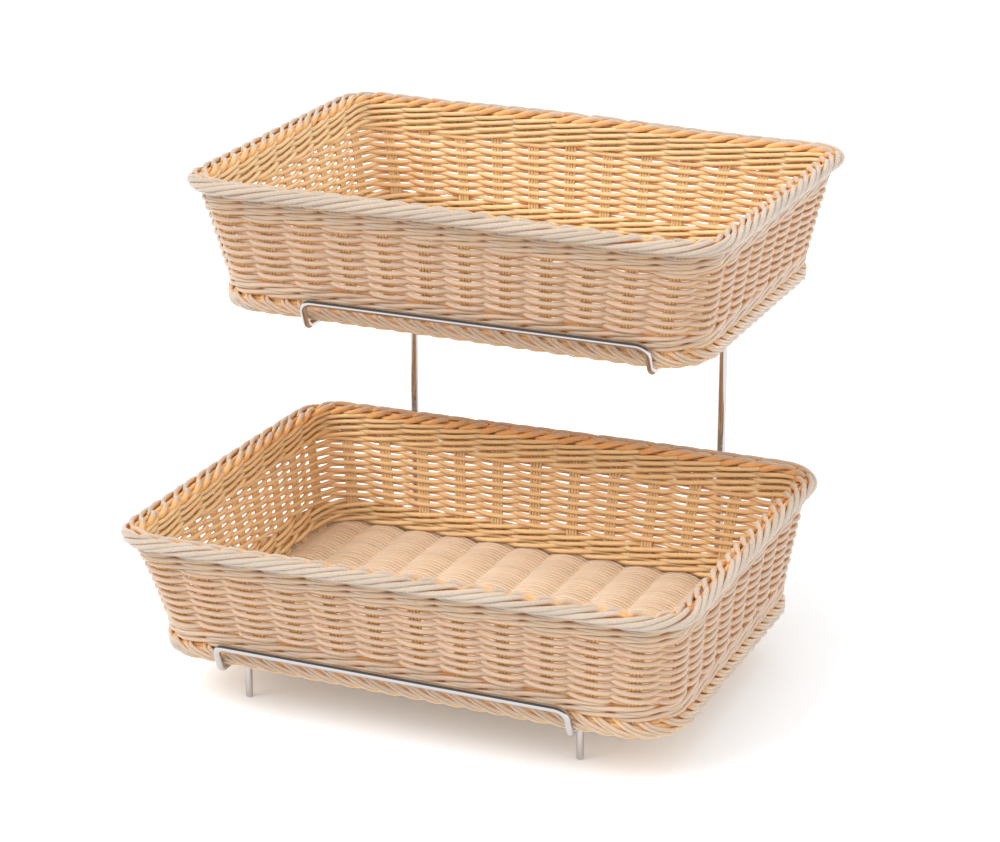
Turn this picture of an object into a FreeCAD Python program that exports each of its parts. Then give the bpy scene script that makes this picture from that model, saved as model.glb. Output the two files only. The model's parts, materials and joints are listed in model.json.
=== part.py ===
import FreeCAD, Part
import math
import os

# A two-tier bread basket stand: a chrome wire stand that carries two woven baskets.
# Millimetres, +X to the right, +Y to the back, +Z up. The origin is on the floor, midway
# between the two baskets.

# Basket, the same for both tiers
basket_width = 400.0          # over the rim, left to right
basket_depth = 300.0          # over the rim, front to back
basket_height = 94.0          # underside of the base to the top of the rim
rim_corner_radius = 34.0      # outside corner of the rim
foot_corner_radius = 38.0     # outside corner of the foot border
rim_height = 15.0
rim_thickness = 16.0
rim_rounding = 6.0
wall_thickness = 9.0          # stakes and weavers together
wall_inset_top = 9.0          # rim's outside to the wall's outside, just under the rim
wall_inset_bottom = 19.5      # rim's outside to the wall's outside, at the foot border
flare_power = 1.3             # above 1, the wall flares more towards the rim
top_wale_height = 10.0        # rows of paired weavers under the rim
bottom_wale_height = 8.0      # rows of paired weavers over the foot border
foot_height = 13.5            # rope-like border round the bottom
foot_thickness = 12.0
foot_inset = 18.5             # rim's outside to the foot border's outside
foot_rounding = 6.0
foot_lift = 0.5               # underside of the base to the underside of the foot border
base_thickness = 8.0
wall_relief = 2.6             # how far the weave stands out over each stake, on both faces
base_relief = 2.4             # how far the weave stands up over each stake of the base
long_side_stakes = 12         # front and back, half of each corner included; also in the base
short_side_stakes = 9         # left and right, half of each corner included

# Stand
wire_diameter = 5.0           # rails, front bars, hooks, front legs and crossbars
post_diameter = 6.0           # rear posts
rail_spacing_share = 0.6275   # of the basket's width: left rail to right rail, axis to axis
rail_height = 31.7            # floor to the axis of the lower rails
tier_rise = 200.0             # lower tier to upper tier, upwards
tier_setback = 136.0          # lower tier to upper tier, to the back
bar_rise = 19.6               # rail axis to front bar axis, upwards
bar_clearance = 5.2           # foot border to the front bar
hook_lean = 8.0               # how far the front bar stands ahead of the hooks' lower corners
bar_bend_radius = 8.0         # bend between the front bar and its hook, on the wire's axis
hook_bend_radius = 6.0        # bend between the hook and its rail, on the wire's axis
leg_setback = 37.1            # front bar to front legs, to the back
post_clearance = 12.4         # lower basket's rim to the rear posts
rail_overrun = 8.0            # lower rails behind the rear posts
upper_rail_margin = 14.0      # upper rails end this far inside the foot border's back
end_rounding = 0.8            # rounded ends of legs, posts and rails
top_drop = 1.0                # legs and posts end this far under the top of their rail
weld_sink = 0.3               # how far welded wires press into each other
seat_clearance = 0.3          # rails to the base that stands on them
upper_basket_slip = 23.0      # the upper basket stands this far left of the lower one

# Places that follow from the sizes
wire_radius = wire_diameter / 2
post_radius = post_diameter / 2
half_width = basket_width / 2
half_depth = basket_depth / 2
stand_x = upper_basket_slip / 2
lower_y = -tier_setback / 2
rail_x = basket_width * rail_spacing_share / 2
bar_y = lower_y - half_depth + foot_inset - bar_clearance - wire_radius
hook_y = bar_y + hook_lean
leg_x = rail_x - wire_diameter + weld_sink
leg_y = bar_y + leg_setback
post_x = rail_x - wire_radius - post_radius + weld_sink
post_y = lower_y + half_depth + post_clearance + post_radius
rail_top = rail_height + wire_radius

# Levels of a basket, from the underside of its base
foot_top = foot_lift + foot_height
bottom_wale_top = foot_top + bottom_wale_height
rim_bottom = basket_height - rim_height
wall_top = rim_bottom - top_wale_height


def vector(x, y, z):
    return FreeCAD.Vector(x, y, z)


def outline(inset, radius, z):
    # rounded rectangle at height z, inset from the outside of the rim
    w = half_width - inset
    d = half_depth - inset
    edges = []
    corners = ((w - radius, d - radius, 0), (radius - w, d - radius, 1),
               (radius - w, radius - d, 2), (w - radius, radius - d, 3))
    ends = []
    for cx, cy, quarter in corners:
        points = []
        for part_share in (0, 0.5, 1):
            turn = (quarter + part_share) * math.pi / 2
            points.append(vector(cx + radius * math.cos(turn), cy + radius * math.sin(turn), z))
        edges.append(Part.Arc(*points).toShape())
        ends.append((points[0], points[-1]))
    outline_edges = []
    for i, edge in enumerate(edges):
        outline_edges.append(edge)
        outline_edges.append(Part.LineSegment(ends[i][1], ends[(i + 1) % len(ends)][0]).toShape())
    return Part.Wire(outline_edges)


def prism(inset, radius, z_low, z_high):
    face = Part.Face(outline(inset, radius, z_low))
    return face.extrude(vector(0, 0, z_high - z_low))


def level_edges(shape, z):
    # edges that lie at height z
    return [e for e in shape.Edges if all(math.isclose(v.Z, z) for v in e.Vertexes)]


def rounded_ring(inset, radius, thickness, z_low, z_high, rounding):
    # border with its outside edges rounded, and its inside straight
    body = prism(inset, radius, z_low, z_high)
    body = body.makeFillet(rounding, level_edges(body, z_low) + level_edges(body, z_high))
    return body.cut(prism(inset + thickness, radius - thickness, z_low, z_high))


def wall_share(z):
    return (z - foot_top) / (rim_bottom - foot_top)


def wall_inset(z):
    return wall_inset_bottom + (wall_inset_top - wall_inset_bottom) * wall_share(z) ** flare_power


def wall_radius(z):
    # outside corner of the wall: the foot border's at the bottom, the rim's at the top
    low = foot_corner_radius + foot_inset - wall_inset_bottom
    high = rim_corner_radius - wall_inset_top
    return low + (high - low) * wall_share(z)


def ring_point(side, share, inset, radius, z):
    # point of a rounded rectangle; side 0 is the front, then right, back and left, and share
    # goes from 0 at the middle of the side's first corner to 1 at the middle of its last one
    along, across = (half_width, half_depth) if side % 2 == 0 else (half_depth, half_width)
    straight = along - inset - radius
    reach = straight + radius * math.pi / 4
    run = (2 * share - 1) * reach
    turn = math.copysign(max(abs(run) - straight, 0), run) / radius
    place = vector(math.copysign(min(abs(run), straight), run) + radius * math.sin(turn),
                   inset + radius - across - radius * math.cos(turn), z)
    spin = FreeCAD.Rotation(vector(0, 0, 1), side * 90)
    return spin.multVec(place)


def woven_outline(inset, relief, radius, z):
    # outline with its crest over each stake and its valleys, further in by the relief, between them
    edges = []
    valley = (inset + relief, radius - relief, z)
    for side in range(4):
        count = (long_side_stakes, short_side_stakes)[side % 2]
        for stake in range(count):
            start = ring_point(side, stake / count, *valley)
            crest = ring_point(side, (stake + 0.5) / count, inset, radius, z)
            end = ring_point(side, (stake + 1) / count, *valley)
            bulge = Part.BezierCurve()
            bulge.setPoles([start, crest * 2 - (start + end) * 0.5, end])
            edges.append(bulge.toShape())
    return Part.Wire(edges)


def woven_band(z_low, z_high):
    # slice of the flared wall, with the stakes showing on both faces
    outside = []
    inside = []
    for z in (z_low, z_high):
        inset = wall_inset(z)
        radius = wall_radius(z)
        outside.append(woven_outline(inset, wall_relief, radius, z))
        inside.append(woven_outline(inset + wall_thickness, -wall_relief, radius - wall_thickness, z))
    return Part.makeLoft(outside, True, True).cut(Part.makeLoft(inside, True, True))


def woven_base(inset, radius):
    # panel with a pillow along each of its stakes, front to back
    edge_x = half_width - inset
    edge_y = half_depth - inset
    pitch = 2 * edge_x / long_side_stakes
    valley_z = base_thickness - base_relief
    corners = [vector(edge_x, -edge_y, valley_z), vector(edge_x, -edge_y, 0),
               vector(-edge_x, -edge_y, 0), vector(-edge_x, -edge_y, valley_z)]
    edges = [Part.LineSegment(*ends).toShape() for ends in zip(corners, corners[1:])]
    for stake in range(long_side_stakes):
        x = stake * pitch - edge_x
        edges.append(Part.Arc(vector(x, -edge_y, valley_z), vector(x + pitch / 2, -edge_y, base_thickness),
                              vector(x + pitch, -edge_y, valley_z)).toShape())
    pillows = Part.Face(Part.Wire(edges)).extrude(vector(0, 2 * edge_y, 0))
    return pillows.common(prism(inset, radius, 0, base_thickness))


def wall_band(z_low, z_high):
    # one slice of the flared wall
    outside = []
    inside = []
    for z in (z_low, z_high):
        outside.append(outline(wall_inset(z), wall_radius(z), z))
        inside.append(outline(wall_inset(z) + wall_thickness, wall_radius(z) - wall_thickness, z))
    return Part.makeLoft(outside, True, True).cut(Part.makeLoft(inside, True, True))


def basket():
    # the pieces of one basket, about its own centre, standing on z = 0
    foot_inside_inset = foot_inset + foot_thickness
    foot_inside_radius = foot_corner_radius - foot_thickness
    return {
        "base_panel": woven_base(foot_inside_inset, foot_inside_radius),
        "foot_border": rounded_ring(foot_inset, foot_corner_radius, foot_thickness,
                                    foot_lift, foot_top, foot_rounding),
        "bottom_wale": wall_band(foot_top, bottom_wale_top),
        "woven_wall": woven_band(bottom_wale_top, wall_top),
        "top_wale": wall_band(wall_top, rim_bottom),
        "rim_border": rounded_ring(0, rim_corner_radius, rim_thickness,
                                   rim_bottom, basket_height, rim_rounding),
    }


def straight_wire(radius, start, end, rounded_ends=()):
    # round wire from start to end, with its named ends rounded
    run = end - start
    wire = Part.makeCylinder(radius, run.Length, start, run)
    rims = []
    for edge in wire.Edges:
        if len(edge.Vertexes) == 1:
            if any(edge.CenterOfMass.isEqual(place, radius) for place in rounded_ends):
                rims.append(edge)
    return wire.makeFillet(end_rounding, rims) if rims else wire


def bend(before, corner, after, radius):
    # tangent arc at a corner of a wire's axis: its first point, its middle and its last point
    back = (before - corner).normalize()
    ahead = (after - corner).normalize()
    half_angle = back.getAngle(ahead) / 2
    first = corner + back * (radius / math.tan(half_angle))
    last = corner + ahead * (radius / math.tan(half_angle))
    middle_line = (back + ahead).normalize()
    middle = corner + middle_line * (radius / math.sin(half_angle) - radius)
    return first, middle, last


def tier_wire(side, rise, setback, rail_end_y):
    # one side of a tier's bent wire: where its front bar ends, its hook, and its rail
    x = stand_x + side * rail_x
    bar_corner = vector(x, bar_y + setback, rail_height + bar_rise + rise)
    hook_corner = vector(x, hook_y + setback, rail_height + rise)
    bar_middle = vector(stand_x, bar_corner.y, bar_corner.z)
    rail_end = vector(x, rail_end_y, hook_corner.z)
    bar_bend = bend(bar_middle, bar_corner, hook_corner, bar_bend_radius)
    hook_bend = bend(bar_corner, hook_corner, rail_end, hook_bend_radius)
    path = Part.Wire([
        Part.Arc(*bar_bend).toShape(),
        Part.LineSegment(bar_bend[-1], hook_bend[0]).toShape(),
        Part.Arc(*hook_bend).toShape(),
    ])
    section = Part.Wire(Part.makeCircle(wire_radius, bar_bend[0], vector(side, 0, 0)))
    hook = path.makePipeShell([section], True, False)
    rail = straight_wire(wire_radius, hook_bend[-1], rail_end, (rail_end,))
    return bar_bend[0], hook, rail


def stand():
    # all the wires of the stand
    pieces = {}
    upper_rail_end = lower_y + tier_setback + half_depth - foot_inset - upper_rail_margin
    tiers = (("lower", 0, 0, post_y + rail_overrun), ("upper", tier_rise, tier_setback, upper_rail_end))
    for tier, rise, setback, rail_end_y in tiers:
        bar_ends = []
        for side_name, side in (("left", -1), ("right", 1)):
            bar_end, hook, rail = tier_wire(side, rise, setback, rail_end_y)
            bar_ends.append(bar_end)
            pieces[f"{tier}_{side_name}_hook"] = hook
            pieces[f"{tier}_{side_name}_rail"] = rail
        pieces[f"{tier}_front_bar"] = straight_wire(wire_radius, *bar_ends)
    for side_name, side in (("left", -1), ("right", 1)):
        leg_foot = vector(stand_x + side * leg_x, leg_y, 0)
        leg_top = vector(leg_foot.x, leg_y, rail_top - top_drop)
        pieces[f"{side_name}_front_leg"] = straight_wire(wire_radius, leg_foot, leg_top, (leg_foot,))
        post_foot = vector(stand_x + side * post_x, post_y, 0)
        post_top = vector(post_foot.x, post_y, rail_top + tier_rise - top_drop)
        pieces[f"{side_name}_rear_post"] = straight_wire(post_radius, post_foot, post_top, (post_foot,))
    leg_reach = leg_x - wire_radius + weld_sink
    post_reach = post_x - post_radius + weld_sink
    crossbars = (("front_crossbar", leg_reach, leg_y, rail_height),
                 ("lower_rear_crossbar", post_reach, post_y, rail_height),
                 ("upper_rear_crossbar", post_reach, post_y, rail_height + tier_rise))
    for name, reach, y, z in crossbars:
        left = vector(stand_x - reach, y, z)
        right = vector(stand_x + reach, y, z)
        pieces[name] = straight_wire(wire_radius, left, right)
    return pieces


def save(name, shape):
    if not shape.isValid() or len(shape.Solids) != 1:
        raise ValueError(f"{name} is not one sound solid")
    shape.Solids[0].exportStep(f"parts/{name}.step")
    print(f"{name}: {shape.Volume:.0f} mm3")


os.makedirs("parts", exist_ok=True)
for piece, solid in stand().items():
    save(piece, solid)
seat_z = rail_top + seat_clearance
basket_places = {
    "lower": vector(stand_x, lower_y, seat_z),
    "upper": vector(stand_x - upper_basket_slip, lower_y + tier_setback, seat_z + tier_rise),
}
for tier_name, place in basket_places.items():
    for piece, solid in basket().items():
        solid.translate(place)
        save(f"{tier_name}_{piece}", solid)
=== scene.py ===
import bpy
import json
import math
import numpy as np
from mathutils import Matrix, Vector


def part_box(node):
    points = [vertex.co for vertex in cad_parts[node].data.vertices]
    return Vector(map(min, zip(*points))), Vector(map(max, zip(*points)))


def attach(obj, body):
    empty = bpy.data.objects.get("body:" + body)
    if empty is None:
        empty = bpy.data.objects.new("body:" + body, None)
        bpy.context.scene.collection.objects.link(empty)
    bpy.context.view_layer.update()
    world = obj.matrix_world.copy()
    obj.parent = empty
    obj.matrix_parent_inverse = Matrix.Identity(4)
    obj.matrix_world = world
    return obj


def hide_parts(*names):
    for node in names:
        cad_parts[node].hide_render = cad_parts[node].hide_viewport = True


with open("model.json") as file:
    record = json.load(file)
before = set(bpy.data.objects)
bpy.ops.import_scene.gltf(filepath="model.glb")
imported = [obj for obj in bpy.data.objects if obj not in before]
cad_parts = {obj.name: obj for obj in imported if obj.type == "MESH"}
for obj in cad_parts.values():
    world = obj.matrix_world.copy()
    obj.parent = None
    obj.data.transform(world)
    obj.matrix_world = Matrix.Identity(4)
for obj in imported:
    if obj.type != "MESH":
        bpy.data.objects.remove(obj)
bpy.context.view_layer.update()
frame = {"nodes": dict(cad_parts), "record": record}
print("frame loaded:", len(frame["nodes"]), "CAD nodes")

mm = 0.001

# places on a basket are in mm, from its own centre and underside
basketForm = {
    "longSideStakes": 12, "shortSideStakes": 9, "height": 94.0,
    "rimCorner": 34.0, "rimInset": 8.0, "rimHalfWidth": 8.0, "rimHalfHeight": 6.0, "rimMiddle": 88.0,
    "footCorner": 38.0, "footInset": 18.5, "footTop": 14.0, "rimBottom": 79.0,
    "wallTopInset": 9.0, "wallFootInset": 19.5, "wallFlare": 1.3, "wallMiddle": 3.9,
    "middleInset": 20.0, "middleCorner": 30.0, "swayLength": 200.0,
}

rimLow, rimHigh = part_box("lower_rim_border")
halfWidth = (rimHigh.x - rimLow.x) / 2 / mm
halfDepth = (rimHigh.y - rimLow.y) / 2 / mm

# a turn round the basket, 0 to 1, starts at the middle of the front left corner and goes by the front;
# each side runs from corner middle to corner middle, with its length taken halfway up the wall
cornerRun = basketForm["middleCorner"] * math.pi / 2
longRun = 2 * (halfWidth - basketForm["middleInset"] - basketForm["middleCorner"]) + cornerRun
shortRun = 2 * (halfDepth - basketForm["middleInset"] - basketForm["middleCorner"]) + cornerRun
sideEnds = np.array([0.0, longRun, longRun + shortRun, 2 * longRun + shortRun, 2 * (longRun + shortRun)])
wholeRun = sideEnds[-1]
stakeCount = 2 * (basketForm["longSideStakes"] + basketForm["shortSideStakes"])


def evenTurns(number, onLong, onShort):  # where strands stand that are shared out evenly on each side
    marks = np.cumsum([0, onLong, onShort, onLong, onShort])
    laps = np.floor(number / marks[-1])
    return np.interp(number - laps * marks[-1], marks, sideEnds / wholeRun) + laps


def stakeTurn(number):
    return evenTurns(number, basketForm["longSideStakes"], basketForm["shortSideStakes"])


def ringAt(turn, inset, corner):  # a point of a rounded rectangle
    along = (turn % 1.0) * wholeRun
    side = np.clip(np.searchsorted(sideEnds, along, side="right") - 1, 0, 3)
    share = (along - sideEnds[side]) / (sideEnds[side + 1] - sideEnds[side])
    isLong = side % 2 == 0
    straight = np.where(isLong, halfWidth, halfDepth) - inset - corner
    run = (2 * share - 1) * (straight + corner * math.pi / 4)
    bend = np.sign(run) * np.maximum(np.abs(run) - straight, 0) / corner
    x = np.clip(run, -straight, straight) + corner * np.sin(bend)
    y = inset + corner - np.where(isLong, halfDepth, halfWidth) - corner * np.cos(bend)
    spin = side * math.pi / 2
    return np.stack([x * np.cos(spin) - y * np.sin(spin), x * np.sin(spin) + y * np.cos(spin)], axis=-1)


def wallShare(z):  # 0 at the foot border, 1 at the rim
    return np.clip((z - basketForm["footTop"]) / (basketForm["rimBottom"] - basketForm["footTop"]), 0, 1)


def wallInset(z):
    fall = basketForm["wallFootInset"] - basketForm["wallTopInset"]
    return basketForm["wallFootInset"] - fall * wallShare(z) ** basketForm["wallFlare"]


def wallCorner(z):
    low = basketForm["footCorner"] + basketForm["footInset"] - basketForm["wallFootInset"]
    high = basketForm["rimCorner"] - basketForm["wallTopInset"]
    return low + (high - low) * wallShare(z)


def wallPoint(turn, z, out):  # out is measured from the middle of the wall
    depth = basketForm["wallMiddle"] - out
    place = ringAt(turn, wallInset(z) + depth, wallCorner(z) - depth)
    return np.column_stack([place, z])


def rimPoint(turn, out, rise):  # out and rise are measured from the middle of the rim
    inset = basketForm["rimInset"]
    place = ringAt(turn, inset - out, basketForm["rimCorner"] - inset + out)
    return np.column_stack([place, basketForm["rimMiddle"] + rise])


def distanceOut(points, inset, corner):  # signed distance of points from a rounded rectangle
    qx = np.abs(points[:, 0]) - (halfWidth - inset - corner)
    qy = np.abs(points[:, 1]) - (halfDepth - inset - corner)
    return np.hypot(np.maximum(qx, 0), np.maximum(qy, 0)) + np.minimum(np.maximum(qx, qy), 0) - corner


def wallOut(points):  # signed distance of points from the middle of the wall
    depth, z = basketForm["wallMiddle"], points[:, 2]
    return distanceOut(points, wallInset(z) + depth, wallCorner(z) - depth)


def ease(x):
    x = np.clip(x, 0, 1)
    return x * x * (3 - 2 * x)


def stray(rng, size):
    return rng.uniform(-size, size)


def wander(rng, turn, size, waves=(2, 3, 5, 8)):  # slow uneven drift round a ring
    total = np.zeros_like(turn)
    for wave in waves:
        total += stray(rng, 1) * np.sin(2 * math.pi * wave * turn + rng.uniform(0, 2 * math.pi))
    return total * size / math.sqrt(len(waves))


def overUnder(wave, flatness):  # a weaver's swing from one face of the wall to the other
    return np.tanh(flatness * wave) / math.tanh(flatness)


def strandPiece(name, strands, sides):  # strands: (points, radius, closed)
    curve = bpy.data.curves.new(name, "CURVE")
    curve.dimensions = "3D"
    curve.bevel_depth = mm
    curve.bevel_resolution = (sides - 4) // 2
    curve.use_fill_caps = True
    for points, radius, closed in strands:
        spline = curve.splines.new("POLY")
        spline.points.add(len(points) - 1)
        spline.points.foreach_set("co", np.column_stack([points * mm, np.ones(len(points))]).ravel())
        spline.points.foreach_set("radius", np.full(len(points), radius) if np.isscalar(radius) else radius)
        spline.use_cyclic_u = closed
        spline.use_smooth = True
    piece = bpy.data.objects.new(name, curve)
    bpy.context.scene.collection.objects.link(piece)
    bpy.ops.object.select_all(action="DESELECT")
    piece.select_set(True)
    bpy.context.view_layer.objects.active = piece
    bpy.ops.object.convert(target="MESH")
    bpy.ops.object.shade_smooth()
    return bpy.context.view_layer.objects.active


def settle(points, basket):  # the hand-made basket's own uneven shape
    across = np.clip(points[:, 0] / halfWidth / 2 + 0.5, 0, 1)[:, None]
    back = np.clip(points[:, 1] / halfDepth / 2 + 0.5, 0, 1)[:, None]
    share = np.clip(points[:, 2] / basketForm["height"], 0, 1)[:, None]
    shifts = []
    for level in ("footShifts", "rimShifts"):
        frontLeft, frontRight, backRight, backLeft = (np.array(shift) for shift in basket[level])
        front = frontLeft * (1 - across) + frontRight * across
        shifts.append(front * (1 - back) + (backLeft * (1 - across) + backRight * across) * back)
    moved = points + shifts[0] * (1 - share) + shifts[1] * share
    for axis, count, size, phase in basket["sway"]:
        wave = np.sin(points[:, axis] * count * math.pi / basketForm["swayLength"] + phase)
        moved[:, 2] += share[:, 0] ** 2 * size * wave
    return moved


# painted light and shade: a face that looks inwards takes the colour of the part further in, so inward faces
# show painted orange glow and shade
backReach = 2.2  # faces that look inwards take their colour from this far further in


def placeStrands(piece, basket, liftOf, undersideShade):
    mesh = piece.data
    points = np.zeros(len(mesh.vertices) * 3, np.float32)
    mesh.vertices.foreach_get("co", points)
    points = points.reshape(-1, 3).astype(float) / mm
    normals = np.zeros(len(mesh.vertices) * 3, np.float32)
    mesh.vertices.foreach_get("normal", normals)
    normals = normals.reshape(-1, 3).astype(float)
    level = np.minimum(liftOf(points), liftOf(points + backReach * normals)).clip(0, 1)
    # painted shade: the undersides of strands get a lower lift and so the darker colours
    under = np.clip(-normals[:, 2], 0, 1)  # the undersides of strands have a lower lift
    lift = mesh.attributes.new("lift", "FLOAT", "POINT")
    lift.data.foreach_set("value", np.clip(level - undersideShade * under, 0, 1).astype(np.float32))
    placed = (settle(points, basket) + np.array(basket["place"])) * mm
    mesh.vertices.foreach_set("co", placed.astype(np.float32).ravel())
    mesh.update()


class Socket:
    def __init__(self, shading, socket):
        self.shading, self.socket = shading, socket

    def math(self, operation, first, second):
        return self.shading.node("ShaderNodeMath", {"operation": operation}, {0: first, 1: second})["Value"]

    def __add__(self, other):
        return self.math("ADD", self, other)

    def __radd__(self, other):
        return self.math("ADD", other, self)

    def __sub__(self, other):
        return self.math("SUBTRACT", self, other)

    def __rsub__(self, other):
        return self.math("SUBTRACT", other, self)

    def __mul__(self, other):
        return self.math("MULTIPLY", self, other)

    def __rmul__(self, other):
        return self.math("MULTIPLY", other, self)


class Shading:
    def __init__(self, owner):
        owner.use_nodes = True
        self.tree = owner.node_tree
        self.tree.nodes.clear()

    def node(self, kind, settings=None, inputs=None):
        made = self.tree.nodes.new(kind)
        for key, value in (settings or {}).items():
            if key == "stops":
                while len(made.color_ramp.elements) < len(value):
                    made.color_ramp.elements.new(1.0)
                for element, (position, colour) in zip(made.color_ramp.elements, value):
                    element.position, element.color = position, colour
            else:
                setattr(made, key, value)
        for key, value in (inputs or {}).items():
            if isinstance(value, Socket):
                self.tree.links.new(value.socket, made.inputs[key])
            else:
                made.inputs[key].default_value = value
        return {out.name: Socket(self, out) for out in made.outputs if out.enabled}


# a strand's lift chooses its colour, and so light and shade are painted on by depth: inner at 0 is painted
# orange shade and glow for the deepest and inward-facing parts, the recess shade colour halfway is painted
# shade in hollows, outer from the last stop on is the lit cane; under is how much painted shade the
# undersides of strands get
caneLooks = {
    "caneWeave": {"inner": (0.98, 0.685, 0.39, 1), "recessShade": (0.74, 0.385, 0.14, 1),
                  "outer": (0.615, 0.465, 0.355, 1), "roughness": 0.3, "translucency": 0.5, "under": 1.1},
    "caneBorder": {"inner": (0.98, 0.63, 0.32, 1), "recessShade": (0.88, 0.50, 0.20, 1),
                   "outer": (0.58, 0.475, 0.38, 1), "roughness": 0.28, "translucency": 0.45, "under": 0.25},
    "caneBase": {"inner": (0.95, 0.55, 0.20, 1), "recessShade": (0.93, 0.62, 0.30, 1),
                 "outer": (0.83, 0.68, 0.53, 1), "roughness": 0.38, "translucency": 0.2, "under": 0.0},
}
caneGrain = {"stops": (0.0, 0.5, 0.72), "cloudScale": 26.0, "cloudDetail": 2.0,
             "grainScale": 700.0, "grainDetail": 3.0, "cloudLift": 0.12, "lowTone": 0.93,
             "strandTone": 0.1, "cloudTone": 0.1, "grainRough": 0.16, "cloudRough": 0.08,
             "bump": 0.12, "bumpDistance": 0.0003, "ior": 1.5,
             "scatter": (1.0, 0.7, 0.45), "scatterDepth": 0.003}


def noiseOn(shade, scale, detail):  # centred on zero
    place = shade.node("ShaderNodeTexCoord")["Object"]
    noise = shade.node("ShaderNodeTexNoise", {}, {"Vector": place, "Scale": scale, "Detail": detail})
    return noise["Fac"] - 0.5


def caneMaterial(name, look):
    material = bpy.data.materials.new(name)
    shade = Shading(material)
    # the lift attribute carries the painted light and shade, read through the colour ramp below
    lift = shade.node("ShaderNodeAttribute", {"attribute_name": "lift"})["Fac"]
    strand = shade.node("ShaderNodeNewGeometry")["Random Per Island"]
    cloud = noiseOn(shade, caneGrain["cloudScale"], caneGrain["cloudDetail"])
    grain = noiseOn(shade, caneGrain["grainScale"], caneGrain["grainDetail"])
    stops = list(zip(caneGrain["stops"], (look["inner"], look["recessShade"], look["outer"])))
    level = lift + cloud * caneGrain["cloudLift"]
    colour = shade.node("ShaderNodeValToRGB", {"stops": stops}, {"Fac": level})["Color"]
    tone = caneGrain["lowTone"] + strand * caneGrain["strandTone"] + cloud * caneGrain["cloudTone"]
    toned = shade.node("ShaderNodeVectorMath", {"operation": "SCALE"}, {0: colour, "Scale": tone})["Vector"]
    rough = look["roughness"] + grain * caneGrain["grainRough"] + cloud * caneGrain["cloudRough"]
    bump = shade.node("ShaderNodeBump", {}, {
        "Strength": caneGrain["bump"], "Distance": caneGrain["bumpDistance"], "Height": grain})["Normal"]
    surface = shade.node("ShaderNodeBsdfPrincipled", {}, {
        "Base Color": toned, "Roughness": rough, "Normal": bump, "IOR": caneGrain["ior"],
        "Subsurface Weight": look["translucency"], "Subsurface Radius": caneGrain["scatter"],
        "Subsurface Scale": caneGrain["scatterDepth"]})["BSDF"]
    shade.node("ShaderNodeOutputMaterial", {}, {"Surface": surface})
    return material


chromeLook = {"colour": (0.55, 0.52, 0.51, 1), "roughness": 0.07,
              "hazeScale": 60.0, "hazeDetail": 4.0, "hazeRough": 0.08,
              "drawnScale": 900.0, "drawnDetail": 2.0, "bump": 0.05, "bumpDistance": 0.0002}


def chromeMaterial(name, look):
    material = bpy.data.materials.new(name)
    shade = Shading(material)
    haze = noiseOn(shade, look["hazeScale"], look["hazeDetail"])
    drawn = noiseOn(shade, look["drawnScale"], look["drawnDetail"])
    bump = shade.node("ShaderNodeBump", {}, {
        "Strength": look["bump"], "Distance": look["bumpDistance"], "Height": drawn})["Normal"]
    surface = shade.node("ShaderNodeBsdfPrincipled", {}, {
        "Base Color": look["colour"], "Metallic": 1.0, "Normal": bump,
        "Roughness": look["roughness"] + haze * look["hazeRough"]})["BSDF"]
    shade.node("ShaderNodeOutputMaterial", {}, {"Surface": surface})
    return material


cane = {name: caneMaterial(name, look) for name, look in caneLooks.items()}
chrome = chromeMaterial("chromeWire", chromeLook)
for node in frame["record"]["behaviour"]["bodies"]["stand"]:
    wire = frame["nodes"][node]
    wire.data.materials.clear()
    wire.data.materials.append(chrome)
print("stand wires plated")


# canes of the upright stakes, side by side; they turn in under the base and out into the rim
stakeForm = {"canes": 4, "radius": 1.15, "spacing": 2.2, "points": 14, "bottom": 3.5, "top": 86.0, "out": 0.9,
             "turnIn": 7.9, "turnInFrom": 11.0, "turnOut": 4.1, "turnOutFrom": 77.0, "turnHeight": 8.0,
             "lean": 1.2, "stray": 0.2, "liftLevel": 0.27, "liftReach": 4.0}


def stakeStrands(rng):
    strands = []
    z = np.linspace(stakeForm["bottom"], stakeForm["top"], stakeForm["points"])
    turnedIn = ease((stakeForm["turnInFrom"] - z) / stakeForm["turnHeight"])
    turnedOut = ease((z - stakeForm["turnOutFrom"]) / stakeForm["turnHeight"])
    out = stakeForm["out"] - stakeForm["turnIn"] * turnedIn + stakeForm["turnOut"] * turnedOut
    for i in range(stakeCount):
        turn = stakeTurn(i + 0.5)
        lean = stray(rng, stakeForm["lean"]) * (z / basketForm["height"] - 0.5)
        for k in range(stakeForm["canes"]):
            across = (k - (stakeForm["canes"] - 1) / 2) * stakeForm["spacing"] + lean
            place = wallPoint(turn + across / wholeRun, z, out + stray(rng, stakeForm["stray"]))
            strands.append((place, stakeForm["radius"], False))
    return strands


# painted shade: the stakes seen in the gaps between weavers take the dark orange colours, darker the further
# in they lie
def stakeLift(points):
    return stakeForm["liftLevel"] + (wallOut(points) - stakeForm["out"]) / stakeForm["liftReach"]


# weavers go over one stake and behind the next, and hang a little between their crossings
weaverForm = {"rows": 16, "firstRow": 24.7, "rowPitch": 2.9, "radius": 1.66, "over": 3.3, "under": 0.6,
              "flatness": 1.5, "sag": 1.2, "pointsPerStake": 8, "swingDrift": 0.08, "swingWaves": (7, 11, 17),
              "slowDrift": 0.25, "quickDrift": 0.2, "quickWaves": (19, 23, 31)}


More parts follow.
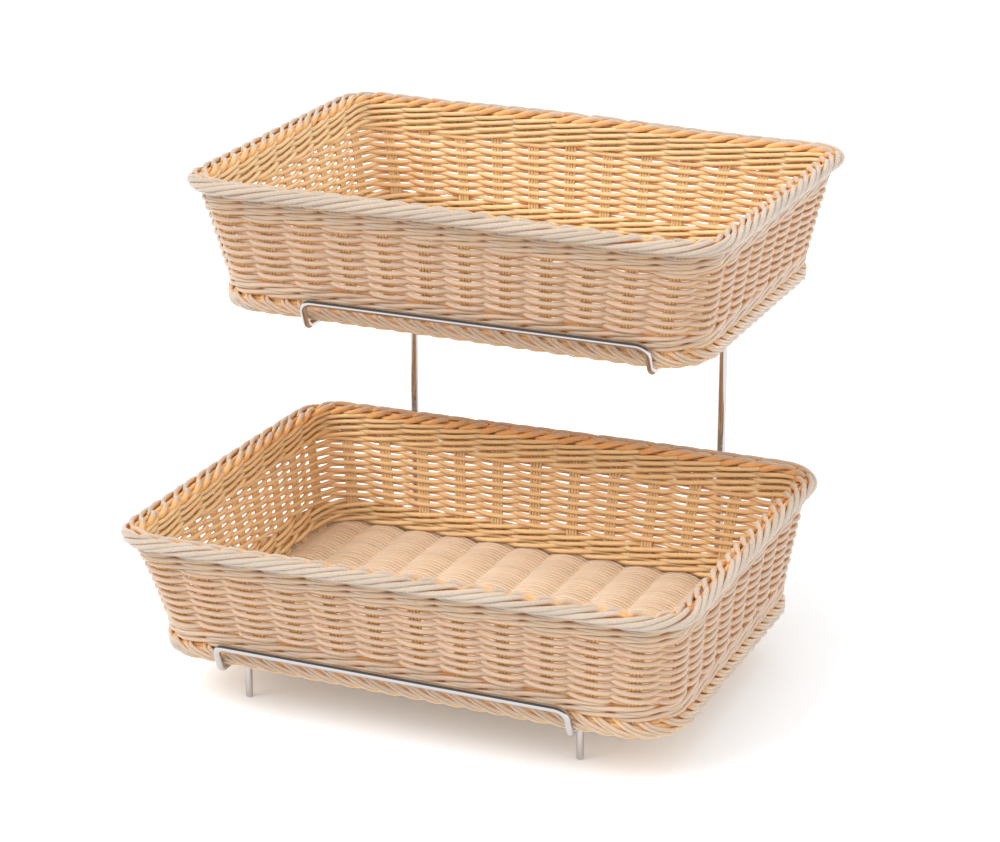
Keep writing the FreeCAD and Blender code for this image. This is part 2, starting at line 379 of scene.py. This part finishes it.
def weaverStrands(rng):
    strands = []
    number = np.arange(stakeCount * weaverForm["pointsPerStake"]) / weaverForm["pointsPerStake"]
    turn = stakeTurn(number)
    for row in range(weaverForm["rows"]):
        wave = np.sin(math.pi * (number + row))
        side = overUnder(wave, weaverForm["flatness"])
        swing = np.where(wave > 0, weaverForm["over"], weaverForm["under"])
        swing = swing * (1 + wander(rng, turn, weaverForm["swingDrift"], weaverForm["swingWaves"]))
        z = weaverForm["firstRow"] + row * weaverForm["rowPitch"] + weaverForm["sag"] * (0.5 - np.abs(side))
        z += wander(rng, turn, weaverForm["slowDrift"])
        z += wander(rng, turn, weaverForm["quickDrift"], weaverForm["quickWaves"])
        strands.append((wallPoint(turn, z, swing * side), weaverForm["radius"], True))
    return strands


# rows of wale: height of each, and how far it is set back
topWaleForm = {"rows": ((71.8, 0.0), (76.6, 0.0), (81.4, 0.0), (85.6, 0.0)), "rise": 2.0, "swing": 2.5}
bottomWaleForm = {"rows": ((10.4, 3.0), (15.2, 0.0), (19.8, 0.0)), "rise": 1.9, "swing": 2.6}
waleForm = {"strands": 3, "radius": 1.6, "pointsPerStake": 6,
            "flatness": 2.2, "outShare": 0.35, "drift": 0.25}


def waleStrands(rng, form):  # three strands a row, each over two stakes and behind one
    strands = []
    number = np.arange(stakeCount * waleForm["pointsPerStake"]) / waleForm["pointsPerStake"]
    turn = stakeTurn(number)
    fullSwing = math.tanh(waleForm["flatness"] * (1 + waleForm["outShare"]))
    for rowNumber, (row, behind) in enumerate(form["rows"]):
        for k in range(waleForm["strands"]):
            part = 2 * math.pi * (number - k - rowNumber - 1) / waleForm["strands"]
            side = np.tanh(waleForm["flatness"] * (np.cos(part) + waleForm["outShare"])) / fullSwing
            z = row + form["rise"] * np.sin(part) + wander(rng, turn, waleForm["drift"])
            strands.append((wallPoint(turn, z, form["swing"] * side - behind), waleForm["radius"], True))
    return strands


# painted shade on the walls: the lift falls with depth into the wall, so recessed cane takes the darker
# colours, and falls again low down by the foot
wallPaintedShade = {"level": 0.5, "from": 0.2, "reach": 4.5, "footDrop": 0.4, "footTop": 13.0, "footRun": 2.0}


def wallLift(points):
    foot = ease((wallPaintedShade["footTop"] - points[:, 2]) / wallPaintedShade["footRun"])
    outward = (wallOut(points) - wallPaintedShade["from"]) / wallPaintedShade["reach"]
    return wallPaintedShade["level"] + outward - wallPaintedShade["footDrop"] * foot


rimEnds = {"thinning": 0.35, "thinShare": 0.12, "beadEnd": 0.6}


def thinEnd(part):
    return 1 - rimEnds["thinning"] * ease((part - 1 + rimEnds["thinShare"]) / rimEnds["thinShare"])


def roundBead(part):
    return rimEnds["beadEnd"] + (1 - rimEnds["beadEnd"]) * np.sqrt(np.sin(math.pi * part))


# the rim's strands climb round a core, and beads go down its inside, past a groove; lengths are counted in
# strands, angles start level at the outside, and a tuck is how far an end sinks in and over what share
rimForm = {
    "onLong": 24, "onShort": 18, "tilt": 4.0, "coreRadius": 2.2, "coreSteps": 3,
    "outer": {"radius": 1.85, "taper": thinEnd, "length": 4.6, "spread": (0.96, 1.05),
              "angles": (-112.0, 92.0), "points": 24, "start": 0.0, "stray": 0.12,
              "firstTuck": (0.5, 0.1), "lastTuck": (0.6, 0.1)},
    "inner": {"radius": 2.2, "taper": roundBead, "length": 1.5, "spread": (0.92, 1.08),
              "angles": (100.0, 205.0), "points": 14, "start": 0.5, "stray": 0.1,
              "firstTuck": (0.45, 0.25), "lastTuck": (0.3, 0.25)},
    "insideDrop": 0.55, "insideFrom": 3.0, "insideRun": 5.0,
}


def rimStrands(rng):
    strands = []
    count = 2 * (rimForm["onLong"] + rimForm["onShort"])
    width = basketForm["rimHalfWidth"] - rimForm["outer"]["radius"]
    height = basketForm["rimHalfHeight"] - rimForm["outer"]["radius"]
    for layer in (rimForm["outer"], rimForm["inner"]):
        part = np.linspace(0, 1, layer["points"])
        radius = layer["radius"] * layer["taper"](part)
        firstTuck, firstShare = layer["firstTuck"]
        lastTuck, lastShare = layer["lastTuck"]
        tuck = 1 - firstTuck * ease(1 - part / firstShare)
        tuck = tuck - lastTuck * ease((part - 1 + lastShare) / lastShare)
        lowAngle, highAngle = layer["angles"]
        for i in range(count):
            number = i + layer["start"] + stray(rng, layer["stray"])
            number = number + part * layer["length"] * rng.uniform(*layer["spread"])
            turn = evenTurns(number, rimForm["onLong"], rimForm["onShort"])
            angle = np.radians(lowAngle + (highAngle - lowAngle) * part + stray(rng, rimForm["tilt"]))
            place = rimPoint(turn, width * np.cos(angle) * tuck, height * np.sin(angle) * tuck)
            strands.append((place, radius, False))
    steps = count * rimForm["coreSteps"]
    ring = np.arange(steps) / steps
    strands.append((rimPoint(ring, np.zeros(steps), np.zeros(steps)), rimForm["coreRadius"], True))
    return strands


# painted shade: the rim's cane darkens towards the core in its middle, and its inside takes the orange
# colours
def rimLift(points):
    outward = distanceOut(points, basketForm["rimInset"], basketForm["rimCorner"] - basketForm["rimInset"])
    rise = points[:, 2] - basketForm["rimMiddle"]
    inside = ease((-outward - rimForm["insideFrom"]) / rimForm["insideRun"])
    far = np.hypot(outward / basketForm["rimHalfWidth"], rise / basketForm["rimHalfHeight"])
    return far - rimForm["insideDrop"] * inside


# pairs of strands that come down from under the wale and run out along the bottom edge, over two rings;
# lengths are for the long and the short sides, and each ring has its height, depth and radius
footForm = {"onLong": 24, "onShort": 18, "radius": 1.4, "lengths": (2.5, 3.8), "points": 22, "stray": 0.06,
            "top": 13.5, "low": (2.1, 3.8), "pairStep": 0.24, "fall": 1.9, "fallShare": 0.7,
            "out": 0.2, "firstTuck": 4.0, "firstShare": 0.14,
            "lastTuck": 3.6, "lastFrom": 0.55, "lastShare": 0.4,
            "ringSteps": 6, "rings": ((2.6, 2.4, 1.8), (6.6, 3.2, 2.6)), "liftReach": 3.6}


def footStrands(rng):
    strands = []
    halfCount = footForm["onLong"] + footForm["onShort"]
    inset = basketForm["footInset"] + footForm["radius"]
    corner = basketForm["footCorner"] - footForm["radius"]
    part = np.linspace(0, 1, footForm["points"])
    fall = np.clip(1 - part / footForm["fallShare"], 0, 1) ** footForm["fall"]
    out = footForm["out"] - footForm["firstTuck"] * ease(1 - part / footForm["firstShare"])
    out = out - footForm["lastTuck"] * ease((part - footForm["lastFrom"]) / footForm["lastShare"])
    for i in range(2 * halfCount):
        start = i + stray(rng, footForm["stray"])
        onShort = i % halfCount >= footForm["onLong"]
        for k, low in enumerate(footForm["low"]):
            number = start + k * footForm["pairStep"] + part * footForm["lengths"][onShort]
            turn = evenTurns(number, footForm["onLong"], footForm["onShort"])
            place = ringAt(turn, inset - out, corner + out)
            z = low + (footForm["top"] - low) * fall
            strands.append((np.column_stack([place, z]), footForm["radius"], False))
    steps = 2 * halfCount * footForm["ringSteps"]
    ring = np.arange(steps) / steps
    for level, depth, radius in footForm["rings"]:
        place = ringAt(ring, inset + depth, corner - depth)
        strands.append((np.column_stack([place, np.full(steps, level)]), radius, True))
    return strands


# painted shade: the foot's strands and the rings inside it darken the further in they lie
def footLift(points):
    return 1 + distanceOut(points, basketForm["footInset"], basketForm["footCorner"]) / footForm["liftReach"]


# the base: rows woven over and under its stakes, with straight canes that close it under the weave
baseForm = {"stakes": 12, "stakePitch": 28.25, "stakeCanes": (-3.0, 0.0, 3.0), "stakeRadius": 1.0,
            "stakePoints": 8, "stakeMargin": 4.0, "rowPitch": 2.0, "rowMargin": 2.0, "radius": 1.3,
            "points": 97, "rise": 3.9, "dip": 2.0, "middle": 3.6, "flatness": 0.5, "spread": (0.96, 1.04),
            "drift": 0.15, "driftWaves": (2, 3, 5, 9), "driftLength": 400.0,
            "halfWidth": 176.5, "halfDepth": 127.0, "corner": 30.0,
            "liningHeight": 2.4, "liningRadius": 1.3, "liningPoints": 4, "liftLevel": 0.54, "liftSlope": 0.35}


def baseStrands(rng):
    strands = []
    corner = baseForm["corner"]
    rows = int(2 * (baseForm["halfDepth"] - baseForm["rowMargin"]) / baseForm["rowPitch"])
    for row in range(rows):
        y = (row - (rows - 1) / 2) * baseForm["rowPitch"]
        past = max(0.0, abs(y) - (baseForm["halfDepth"] - corner))
        reach = baseForm["halfWidth"] - corner + math.sqrt(corner ** 2 - past ** 2)
        x = np.linspace(-reach, reach, baseForm["points"])
        wave = np.sin(math.pi * (x / baseForm["stakePitch"] + row))
        swing = np.where(wave > 0, baseForm["rise"], baseForm["dip"]) * rng.uniform(*baseForm["spread"])
        z = baseForm["middle"] + swing * overUnder(wave, baseForm["flatness"])
        drift = wander(rng, x / baseForm["driftLength"] + 0.5, baseForm["drift"], baseForm["driftWaves"])
        strands.append((np.column_stack([x, y + drift, z]), baseForm["radius"], False))
        x = np.linspace(-reach, reach, baseForm["liningPoints"])
        lining = np.column_stack([x, np.full_like(x, y), np.full_like(x, baseForm["liningHeight"])])
        strands.append((lining, baseForm["liningRadius"], False))
    stakeReach = baseForm["halfDepth"] - baseForm["stakeMargin"]
    y = np.linspace(-stakeReach, stakeReach, baseForm["stakePoints"])
    for k in range(baseForm["stakes"]):
        for across in baseForm["stakeCanes"]:
            x = np.full_like(y, (k - (baseForm["stakes"] - 1) / 2) * baseForm["stakePitch"] + across)
            place = np.column_stack([x, y, np.full_like(y, baseForm["middle"])])
            strands.append((place, baseForm["stakeRadius"], False))
    return strands


# painted shade: the base takes darker orange colours below the crest of its pillows, in the valleys, between
# rows and on the lining canes underneath
def baseLift(points):
    pillow = np.abs(np.sin(math.pi * points[:, 0] / baseForm["stakePitch"]))
    crest = baseForm["middle"] + baseForm["rise"] * overUnder(pillow, baseForm["flatness"])
    return baseForm["liftLevel"] + baseForm["liftSlope"] * (points[:, 2] - crest) / baseForm["radius"]


# how far each corner stands from the drawn shape, at the foot and at the rim, in the order front left,
# front right, back right, back left; a sway has its axis, count of half waves, size and phase
baskets = {
    "lower": {"seed": 11,
              "footShifts": ((-0.5, 0, 0), (14, -2, 0), (12, 0, 0), (2, 0, 0)),
              "rimShifts": ((-2.5, -1, -3), (5.5, 0, 0), (5.5, 3, 1.5), (2.5, 3, -2)),
              "sway": [(0, 1.0, 0.6, 0.4), (1, 1.5, 0.5, 1.0)]},
    "upper": {"seed": 29,
              "footShifts": ((1.5, 4, 0), (0.5, -4.5, 0), (0, -3, 0), (0, 1.5, 0)),
              "rimShifts": ((1, 5, 3), (0.6, 1, -1.5), (0.6, -4, -3), (-2.6, -2, 2.5)),
              "sway": [(0, 1.6, 0.8, 2.0), (1, 1.0, 0.5, 0.2)]},
}

for tier, basket in baskets.items():
    low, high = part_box(tier + "_rim_border")
    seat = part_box(tier + "_base_panel")[0].z
    basket["place"] = ((low.x + high.x) / 2 / mm, (low.y + high.y) / 2 / mm, seat / mm)
    rng = np.random.default_rng(basket["seed"])
    parts = [
        ("stakes", stakeStrands(rng), 6, stakeLift, "caneWeave", "cane_weave", None),
        ("weavers", weaverStrands(rng), 8, wallLift, "caneWeave", "cane_weave", "woven_wall"),
        ("topWale", waleStrands(rng, topWaleForm), 8, wallLift, "caneWeave", "cane_weave", "top_wale"),
        ("bottomWale", waleStrands(rng, bottomWaleForm), 8, wallLift,
         "caneWeave", "cane_weave", "bottom_wale"),
        ("rimBraid", rimStrands(rng), 8, rimLift, "caneBorder", "cane_border", "rim_border"),
        ("footRope", footStrands(rng), 8, footLift, "caneWeave", "cane_border", "foot_border"),
        ("baseWeave", baseStrands(rng), 6, baseLift, "caneBase", "cane_base", "base_panel"),
    ]
    for partName, strands, sides, liftOf, finish, slotName, node in parts:
        piece = strandPiece(f"{tier}_{partName}", strands, sides)
        placeStrands(piece, basket, liftOf, caneLooks[finish]["under"])
        piece.data.materials.append(cane[finish])
        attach(piece, tier + "_basket")
        if node:
            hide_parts(f"{tier}_{node}")
        print(piece.name, len(strands), "strands", len(piece.data.polygons), "faces")

floorForm = {"size": 14.0, "colour": (0.84, 0.88, 0.925, 1), "glow": 0.22}
bpy.ops.mesh.primitive_plane_add(size=floorForm["size"], location=(0, 0, 0))
floor = bpy.context.view_layer.objects.active
floor.name = "floor"
floorPaint = bpy.data.materials.new("floorPaint")
shade = Shading(floorPaint)
path = shade.node("ShaderNodeLightPath")
seen = path["Is Camera Ray"] + path["Is Glossy Ray"] + path["Is Transmission Ray"]
paint = shade.node("ShaderNodeBsdfDiffuse", {}, {"Color": floorForm["colour"]})["BSDF"]
glow = shade.node("ShaderNodeEmission", {}, {"Strength": seen * floorForm["glow"]})["Emission"]
surface = shade.node("ShaderNodeAddShader", {}, {0: paint, 1: glow})["Shader"]
shade.node("ShaderNodeOutputMaterial", {}, {"Surface": surface})
floor.data.materials.append(floorPaint)

# reflections show the dark part of the room over the camera, from just over level to just past overhead
studio = {"skyLevel": 0.38, "skyRise": 0.9, "sun": 1.8, "sunFrom": (-0.75, -0.75, 0.95), "sunAngle": 45.0,
          "side": 0.7, "sideFrom": (1.0, -0.1, 0.4), "sideAngle": 50.0, "lampDistance": 3.0,
          "stripFrom": (0.12, 0.25), "stripTo": (-0.55, -0.3), "stripDark": 0.85}
world = bpy.context.scene.world or bpy.data.worlds.new("studio")
bpy.context.scene.world = world
shade = Shading(world)
path = shade.node("ShaderNodeLightPath")
toward = shade.node("ShaderNodeSeparateXYZ", {}, {"Vector": shade.node("ShaderNodeTexCoord")["Generated"]})


def edge(value, low, high):
    return shade.node("ShaderNodeMapRange", {"interpolation_type": "SMOOTHSTEP"},
                      {"Value": value, "From Min": low, "From Max": high})["Result"]


strip = edge(toward["Z"], *studio["stripFrom"]) * edge(-1 * toward["Y"], *studio["stripTo"])
glossy = path["Is Glossy Ray"]
ambient = studio["skyLevel"] + studio["skyRise"] * edge(toward["Z"], 0.0, 1.0)  # brighter overhead
seen = path["Is Camera Ray"] + path["Is Transmission Ray"]
strength = seen + glossy * (1 - strip * studio["stripDark"]) + (1 - seen - glossy) * ambient
sky = shade.node("ShaderNodeBackground", {}, {"Color": (1, 1, 1, 1), "Strength": strength})["Background"]
shade.node("ShaderNodeOutputWorld", {}, {"Surface": sky})

for lamp in ("sun", "side"):
    lampFrom = Vector(studio[lamp + "From"])
    lampData = bpy.data.lights.new(lamp, "SUN")
    lampData.energy = studio[lamp]
    lampData.angle = math.radians(studio[lamp + "Angle"])
    lampPlace = bpy.data.objects.new(lamp, lampData)
    lampPlace.location = lampFrom * studio["lampDistance"]
    lampPlace.rotation_euler = (-lampFrom).to_track_quat("-Z", "Y").to_euler()
    lampPlace.visible_glossy = False
    bpy.context.scene.collection.objects.link(lampPlace)

view = {"eye": (757.7, -1748.0, 838.2), "yaw": -23.37, "pitch": 19.65, "lens": 104.46,
        "sensor": 36.0, "clipEnd": 30.0}
yaw, pitch = math.radians(view["yaw"]), math.radians(view["pitch"])
ahead = Vector((math.sin(yaw) * math.cos(pitch), math.cos(yaw) * math.cos(pitch), -math.sin(pitch)))
lensData = bpy.data.cameras.new("camera")
lensData.sensor_fit = "HORIZONTAL"
lensData.sensor_width = view["sensor"]
lensData.lens = view["lens"]
lensData.clip_end = view["clipEnd"]
camera = bpy.data.objects.new("camera", lensData)
camera.location = Vector(view["eye"]) * mm
camera.rotation_euler = ahead.to_track_quat("-Z", "Y").to_euler()
bpy.context.scene.collection.objects.link(camera)
bpy.context.scene.camera = camera
bpy.context.scene.view_settings.view_transform = "Standard"
print("studio ready")
